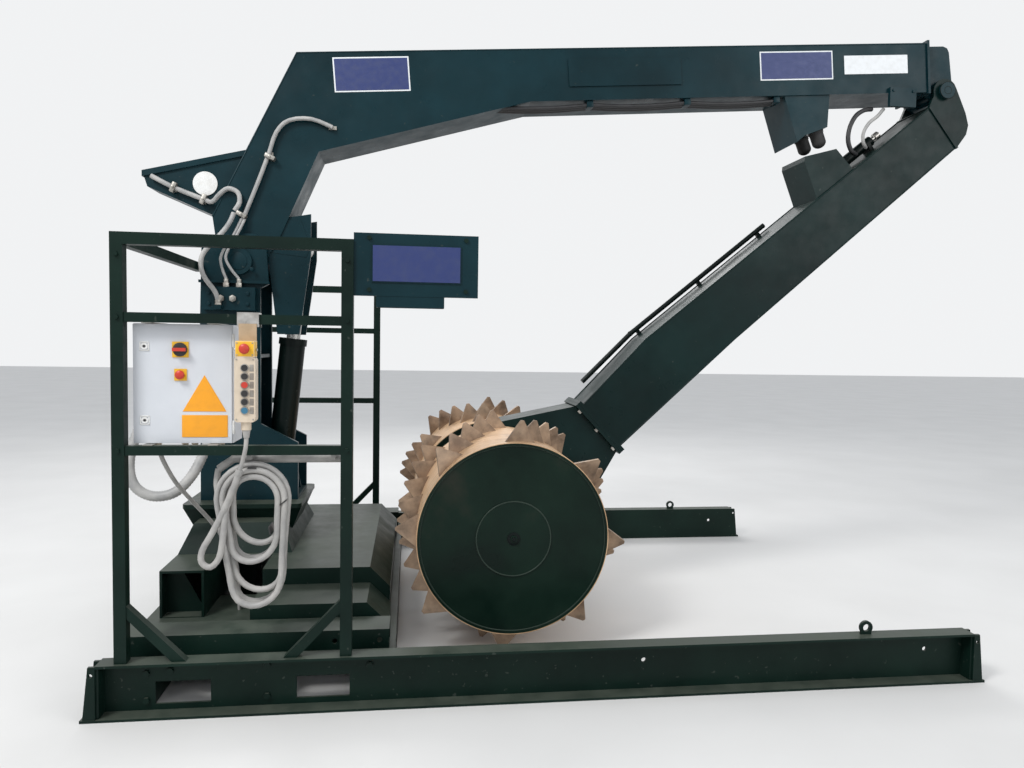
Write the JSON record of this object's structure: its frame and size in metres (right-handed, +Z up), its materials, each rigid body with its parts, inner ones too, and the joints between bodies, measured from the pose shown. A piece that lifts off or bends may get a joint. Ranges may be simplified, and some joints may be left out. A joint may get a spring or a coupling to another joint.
{
  "type": "stationary roller waste compactor",
  "caption": "Stationary roller compactor: a toothed drum on a folding boom that crushes waste in a container, on a rail base with guard, cabinet and pendant.",
  "frame": {"origin": "On the floor under the column's pin, in the middle between the two base rails.", "axes": "+X along the base rails from the column towards the container bay, +Z up, -Y is the side with the cabinet and the pendant."},
  "size_m": [5.0852, 3.0015, 3.5771],
  "materials": {
    "green": "satin",
    "dark_green": "satin",
    "worn_steel": "worn",
    "bright_steel": "satin",
    "cabinet_grey": "satin",
    "hose": "matt",
    "black": "matt",
    "yellow": "matt",
    "red": "gloss",
    "blue": "matt",
    "strap_tan": "worn",
    "buffer_rubber": "matt"
  },
  "bodies": {
    "base": {"rail_front": "green", "rail_rear": "green", "end_shoes": "green", "lifting_eyes": "green", "frame_bolts": "bright_steel", "cross_beams": "dark_green", "base_box": "green", "side_beams": "green", "pedestal": "green", "column": "green", "boom_pin": "bright_steel", "guard_front": "green", "guard_rear": "green", "sign_board": "dark_green", "cabinet_case": "cabinet_grey", "cabinet_brackets": "bright_steel", "pendant_hook": "bright_steel", "pendant_strap": "strap_tan", "pendant_body": "cabinet_grey", "conduit": "hose", "cable_lead": "hose", "cable_hank": "hose", "loop_hose": "hose"},
    "door": {"cabinet_door": "cabinet_grey", "switch_plates": "yellow"},
    "upper_latch": {"latch_upper": "black"},
    "lower_latch": {"latch_lower": "black"},
    "isolator": {"isolator_knob": "red"},
    "cabinet_stop": {"estop_button": "red"},
    "pendant_stop": {"pendant_estop": "red"},
    "key_1": {"button_1": "blue"},
    "key_2": {"button_2": "blue"},
    "key_3": {"button_3": "red"},
    "key_4": {"button_4": "blue"},
    "key_5": {"button_5": "blue"},
    "key_6": {"button_6": "blue"},
    "boom_arm": {"boom": "green", "boom_head": "green", "rear_lever": "green", "lever_cap": "bright_steel", "boom_bracket": "green", "buffer": "buffer_rubber", "head_cover": "green", "boom_hoses": "hose", "hose_clamps": "bright_steel"},
    "lift_tube": {"lift_barrel": "green"},
    "lift_piston": {"lift_rod": "bright_steel"},
    "dipper_arm": {"dipper": "green", "dipper_head": "green", "dipper_bracket": "green", "arm_pipe": "dark_green", "lock_barrel": "dark_green", "drum_carrier": "green", "flange_bolts": "bright_steel", "drum_axle": "bright_steel"},
    "lock_piston": {"lock_rod": "bright_steel"},
    "drum": {"drum_front": "worn_steel", "drum_rear": "worn_steel", "drum_teeth": "worn_steel", "drum_hubs": "dark_green"}
  },
  "joints": [
    {"name": "boom_lift", "type": "hinge", "parent": "base", "child": "boom_arm", "pos_m": [0, 0, 2.05], "axis": [0, -1, 0], "range_deg": [0, 40]},
    {"name": "dipper_fold", "type": "hinge", "parent": "boom_arm", "child": "dipper_arm", "pos_m": [4.3672, 0, 3.269], "axis": [0, -1, 0], "range_deg": [0, 60]},
    {"name": "drum_spin", "type": "hinge", "parent": "dipper_arm", "child": "drum", "pos_m": [1.5072, 0, 0.611], "axis": [0, 1, 0], "continuous": true},
    {"name": "cabinet_door", "type": "hinge", "parent": "base", "child": "door", "pos_m": [0.228, -1.392, 1.41], "axis": [0, 0, 1], "range_deg": [0, 90]},
    {"name": "lock_stroke", "type": "slide", "parent": "dipper_arm", "child": "lock_piston", "axis": [0.7727, 0, 0.6347], "range_m": [0, 0.06]},
    {"name": "lift_swing", "type": "hinge", "parent": "base", "child": "lift_tube", "pos_m": [0.2, 0, 0.9], "axis": [0, -1, 0], "range_deg": [-1, 8]},
    {"name": "lift_stroke", "type": "slide", "parent": "lift_tube", "child": "lift_piston", "axis": [0.1034, 0, 0.9946], "range_m": [-0.005, 0.25]},
    {"name": "isolator_turn", "type": "hinge", "parent": "door", "child": "isolator", "pos_m": [0.02, -1.4, 1.558], "axis": [0, 1, 0], "range_deg": [0, 90]},
    {"name": "cabinet_stop_push", "type": "slide", "parent": "door", "child": "cabinet_stop", "axis": [0, 1, 0], "range_m": [0, 0.006], "stiffness_N_per_m": 1500},
    {"name": "pendant_stop_push", "type": "slide", "parent": "base", "child": "pendant_stop", "axis": [0, 1, 0], "range_m": [0, 0.006], "stiffness_N_per_m": 1500},
    {"name": "upper_latch_turn", "type": "hinge", "parent": "door", "child": "upper_latch", "pos_m": [-0.124, -1.392, 1.57], "axis": [0, 1, 0], "range_deg": [0, 90]},
    {"name": "lower_latch_turn", "type": "hinge", "parent": "door", "child": "lower_latch", "pos_m": [-0.124, -1.392, 1.26], "axis": [0, 1, 0], "range_deg": [0, 90]},
    {"name": "key_1_push", "type": "slide", "parent": "base", "child": "key_1", "axis": [0, 1, 0], "range_m": [0, 0.004], "stiffness_N_per_m": 800},
    {"name": "key_2_push", "type": "slide", "parent": "base", "child": "key_2", "axis": [0, 1, 0], "range_m": [0, 0.004], "stiffness_N_per_m": 800},
    {"name": "key_3_push", "type": "slide", "parent": "base", "child": "key_3", "axis": [0, 1, 0], "range_m": [0, 0.004], "stiffness_N_per_m": 800},
    {"name": "key_4_push", "type": "slide", "parent": "base", "child": "key_4", "axis": [0, 1, 0], "range_m": [0, 0.004], "stiffness_N_per_m": 800},
    {"name": "key_5_push", "type": "slide", "parent": "base", "child": "key_5", "axis": [0, 1, 0], "range_m": [0, 0.004], "stiffness_N_per_m": 800},
    {"name": "key_6_push", "type": "slide", "parent": "base", "child": "key_6", "axis": [0, 1, 0], "range_m": [0, 0.004], "stiffness_N_per_m": 800}
  ],
  "couplings": [
    {"joint": "lift_swing", "follows": "boom_lift", "ratio": 0.1599},
    {"joint": "lift_stroke", "follows": "boom_lift", "m_per_rad": 0.2607}
  ]
}
